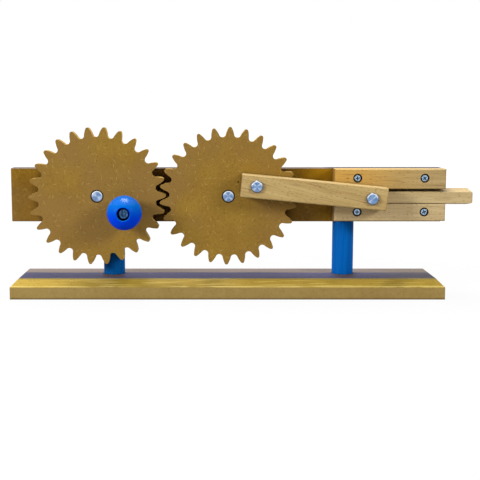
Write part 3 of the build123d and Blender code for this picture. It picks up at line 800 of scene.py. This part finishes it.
# %% [markdown]
# ## Metal
# The pins were faced on a lathe, which leaves rings too fine to see. Each ring is bright only where
# it runs square to the light, and together they make the pale fans that cross every pin's head.
# Real rings would need a mesh far too fine. So each fan is a painted highlight, drawn from the
# angle round the pin's own axis: the share of the way across that lies along the fan's direction,
# squared, is 1 on the fan's middle line and 0 square to it. A hundredth is added to the square that
# divides, so that it isn't 0 on the axis. Near the rim lies a painted highlight above and a painted
# reflection of the brown wood below, and the rim itself is painted dark, because it turns away from
# the light.

# %% Turned steel
SHEEN_STARTS = 0.66
SHEEN_FULL = 0.84
PALE_SHEEN_MM = (-1.0, 3.5)
BROWN_SHEEN_MM = (1.5, -4.0)
NEVER_ZERO = 0.01
RIM_TURNS_AWAY = (0.92, 0.7)


def turned_steel(node, fans):
    """Bluish steel with fans of painted highlight, each a direction in degrees and a width from 0 to 1.
    """
    low, high = box_mm(node)
    head_radius = (high.x - low.x) / 2
    steel = Finish(node + "_steel", {"Metallic": 1.0, "Roughness": 0.34})
    across, upright = from_axis(steel, (low + high) / 2)
    radius_squared = distance_squared(across, upright) + NEVER_ZERO
    haze = steel.noise(2.2).fade(*NOISE_RANGE)
    tone = steel.blend(haze, colour(96, 126, 170), colour(128, 156, 192))
    for direction, width in fans:
        along = across * cos(radians(direction)) + upright * sin(radians(direction))
        fan = (along * along / radius_squared).fade(1.0 - width, 1.0)
        tone = steel.blend(fan * 0.6, tone, colour(196, 212, 238))
    # Painted highlight near the rim above, painted reflection of the wood below, painted shade on the
    # rim.
    sheen = radius_squared.fade((head_radius * SHEEN_STARTS) ** 2, (head_radius * SHEEN_FULL) ** 2)
    tone = steel.blend(sheen * upright.fade(*PALE_SHEEN_MM) * 0.85, tone, colour(240, 244, 248))
    tone = steel.blend(sheen * upright.fade(*BROWN_SHEEN_MM) * 0.55, tone, colour(122, 112, 108))
    rim = abs(steel.facing["Y"]).fade(*RIM_TURNS_AWAY)
    tone = steel.blend(rim * 0.85, tone, colour(84, 88, 100))
    steel.paint({"Base Color": tone})
    steel.relief(haze * 0.01, edge_radius=0.2)
    print(f"{node}: a head {2 * head_radius:.1f} mm wide with {len(fans)} fans")
    return steel


# %% [markdown]
# The nuts and washers are zinc plated, the knob's screw is dark, both as a black screw and as painted
# shade of its deep recess, and the slider's insert is brass. Each is one even tone with a bloom of
# crystals, a little lighter and darker, which are a little rougher and smoother too, and has painted
# shade in its crevices.

# %% Plated metal
METAL_CREVICE_SHADE = colour(8, 16, 44)


def plated(name, light, dark, roughness, marks=None):
    """Plated metal whose crystals are a little lighter and darker."""
    metal = Finish(name, {"Metallic": 1.0})
    bloom = metal.noise(1.6, detail=3.0).fade(*NOISE_RANGE)
    tone = metal.blend(bloom, dark, light)
    if marks:
        tone = marks(metal, tone)
    # Painted shade in the crevices.
    metal.paint({"Base Color": metal.blend(metal.crevice(2.0, open_share=0.6), tone, METAL_CREVICE_SHADE),
                 "Roughness": bloom * 0.12 + roughness})
    metal.relief(bloom * 0.02, edge_radius=0.15)
    print(f"{name}: {len(metal.tree.nodes)} nodes")
    return metal


zinc = plated("zinc", light=colour(190, 198, 208), dark=colour(150, 160, 172), roughness=0.32)
# Dark as a black screw and as painted shade of its deep recess.
black_screw = plated("black_screw", light=colour(84, 124, 166), dark=colour(16, 34, 60), roughness=0.35)
insert_brass = plated("insert_brass", light=colour(216, 184, 110), dark=colour(180, 146, 78),
                      roughness=0.3)

# %% [markdown]
# The guide screws have cross recesses. The crevice rays alone leave them too pale, so painted shade
# darkens them by place as well: near each screw's middle, and below its face. The four screws stand
# at the corners of a rectangle, and their distances from its middle, without their signs, turn the
# four places into one.

# %% The guide screws' metal
SCREW_HEAD_MM = 6.8
RECESS_RADII_MM = (2.5, 2.1)
RECESS_DEPTHS_MM = (0.15, 0.5)


def shaded_crosses(metal, tone):
    """The cross recesses of the guide screws, darkened with painted shade."""
    low, high = box_mm("guide_screws")
    half_width = (high.x - low.x) / 2 - SCREW_HEAD_MM / 2
    half_height = (high.z - low.z) / 2 - SCREW_HEAD_MM / 2
    across, upright = from_axis(metal, (low + high) / 2)
    from_screw = distance_squared(abs(abs(across) - half_width), abs(abs(upright) - half_height))
    outer_radius, inner_radius = RECESS_RADII_MM
    near_middle = from_screw.fade(outer_radius ** 2, inner_radius ** 2)
    shallow, deep = RECESS_DEPTHS_MM
    sunk = metal.at["Y"].fade(low.y + shallow, low.y + deep)
    # Painted shade in the recesses.
    return metal.blend(near_middle * sunk * 0.9, tone, METAL_CREVICE_SHADE)


screw_zinc = plated("screw_zinc", light=colour(176, 198, 220), dark=colour(112, 144, 172),
                    roughness=0.3, marks=shaded_crosses)

# %% [markdown]
# Each pin has fans of its own, in the directions that the photograph shows: a broad one on the drive
# axle's pin, and one or two narrow ones on the others. A width of 1 would fill the whole head.

# %% Steel for the four pins
pin_fans = {
    "drive_axle_pin": [(-35.0, 0.6)],
    "driven_axle_pin": [(140.0, 0.12), (52.0, 0.12)],
    "crank_pin": [(40.0, 0.14), (140.0, 0.14)],
    "slider_pin": [(42.0, 0.14)],
}
pin_steel = {pin: turned_steel(pin, fans) for pin, fans in pin_fans.items()}

# %% [markdown]
# ## Dressing the pieces
# Each piece of the construction model has one material slot, and its finish goes there. Pieces of
# one finish are listed together.

# %% Give every piece its finish
dressed = {
    base_finish: ["base_board"],
    beam_board: ["backbone_beam"],
    gear_board: ["drive_gear", "driven_gear", "drive_spacer", "driven_spacer"],
    link_beech: ["connecting_link"],
    slider_beech: ["slider", "left_dowel_pin", "right_dowel_pin"],
    upper_guide_beech: ["upper_guide_strip"],
    lower_guide_beech: ["lower_guide_strip"],
    left_post_paint: ["left_post"],
    right_post_paint: ["right_post"],
    knob_paint: ["ball_knob"],
    zinc: ["drive_axle_washer", "driven_axle_washer", "drive_axle_nut", "driven_axle_nut",
           "knob_t_nut", "crank_t_nut", "knob_washer", "crank_washer",
           "slider_washer", "left_post_screw", "right_post_screw"],
    screw_zinc: ["guide_screws"],
    black_screw: ["knob_screw"],
    insert_brass: ["slider_insert"],
}
for pin, steel in pin_steel.items():
    dressed[steel] = [pin]


def dress(piece, finish):
    """Put a finish in a piece's slot."""
    piece.data.materials.clear()
    piece.data.materials.append(finish.material)


for finish, names in dressed.items():
    for name in names:
        dress(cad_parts[name], finish)
left_bare = set(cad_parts) - {name for names in dressed.values() for name in names}
print("pieces without a finish:", left_bare or "none")

# %% [markdown]
# ## Screw threads
# Behind each nut about one turn of its axle's thread stands clear. A bump could fake it, but its
# outline would stay smooth, so it is a mesh. A thread is one ridge wound as a helix. The ridge is
# drawn as a chain of small triangles, root, crest, root, each a little further round and a little
# further along, and neighbours in the chain are joined by faces.

# %% A closed ridge over a chain of triangles
def ridge_over(name, chain):
    """A mesh that joins the triangles of a chain, closed at both ends."""
    ridge = bmesh.new()
    triangles = [[ridge.verts.new(corner) for corner in triangle] for triangle in chain]
    for here, following in zip(triangles, triangles[1:]):
        for side in range(3):
            other = (side + 1) % 3
            ridge.faces.new((here[side], here[other], following[other], following[side]))
    ridge.faces.new(triangles[0])
    ridge.faces.new(reversed(triangles[-1]))
    bmesh.ops.recalc_face_normals(ridge, faces=ridge.faces)
    mesh = bpy.data.meshes.new(name)
    ridge.to_mesh(mesh)
    ridge.free()
    print(f"{name}: {len(mesh.polygons)} faces")
    return mesh


# %% [markdown]
# The ridge's roots sink a little into the tail, so that no gap shows. It runs out to nothing at both
# ends, as a cut thread does, and draws in with the chamfer at the end of the tail.

# %% Threads on the axle tails
TAIL_RADIUS_MM = 4.0
TAIL_CHAMFER_MM = 0.8
THREAD_PITCH_MM = 1.25
THREAD_HEIGHT_MM = 0.4
THREAD_HALF_WIDTH_MM = 0.6
THREAD_SINK_MM = 0.05
STEPS_A_TURN = 48
RUN_OUT_STEPS = 6


def wind_thread(name, pin, nut):
    """A helical ridge on the stretch of an axle pin that stands behind its nut."""
    low, high = box_mm(pin)
    middle = (low + high) / 2
    tail_end = high.y
    start = box_mm(nut)[1].y + THREAD_HALF_WIDTH_MM
    steps = int((tail_end - THREAD_HALF_WIDTH_MM - start) / THREAD_PITCH_MM * STEPS_A_TURN)

    def corner(turn, along, rise):
        """A corner of a triangle, at a rise above the tail or its chamfer."""
        on_chamfer = max(0.0, along - (tail_end - TAIL_CHAMFER_MM))
        radius = TAIL_RADIUS_MM - on_chamfer + rise
        return Vector((middle.x + radius * cos(turn), along, middle.z + radius * sin(turn))) * MM

    chain = []
    for step in range(steps + 1):
        turn = 2 * pi * step / STEPS_A_TURN
        along = start + THREAD_PITCH_MM * step / STEPS_A_TURN
        height = THREAD_HEIGHT_MM * min(1.0, step / RUN_OUT_STEPS, (steps - step) / RUN_OUT_STEPS)
        chain.append((
            corner(turn, along - THREAD_HALF_WIDTH_MM, -THREAD_SINK_MM),
            corner(turn, along, height),
            corner(turn, along + THREAD_HALF_WIDTH_MM, -THREAD_SINK_MM)))
    piece = bpy.data.objects.new(name, ridge_over(name, chain))
    bpy.context.scene.collection.objects.link(piece)
    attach(piece, "frame")
    dress(piece, zinc)
    print(f"{name}: {steps / STEPS_A_TURN:.2f} turns")


wind_thread("drive_axle_thread", "drive_axle_pin", "drive_axle_nut")
wind_thread("driven_axle_thread", "driven_axle_pin", "driven_axle_nut")
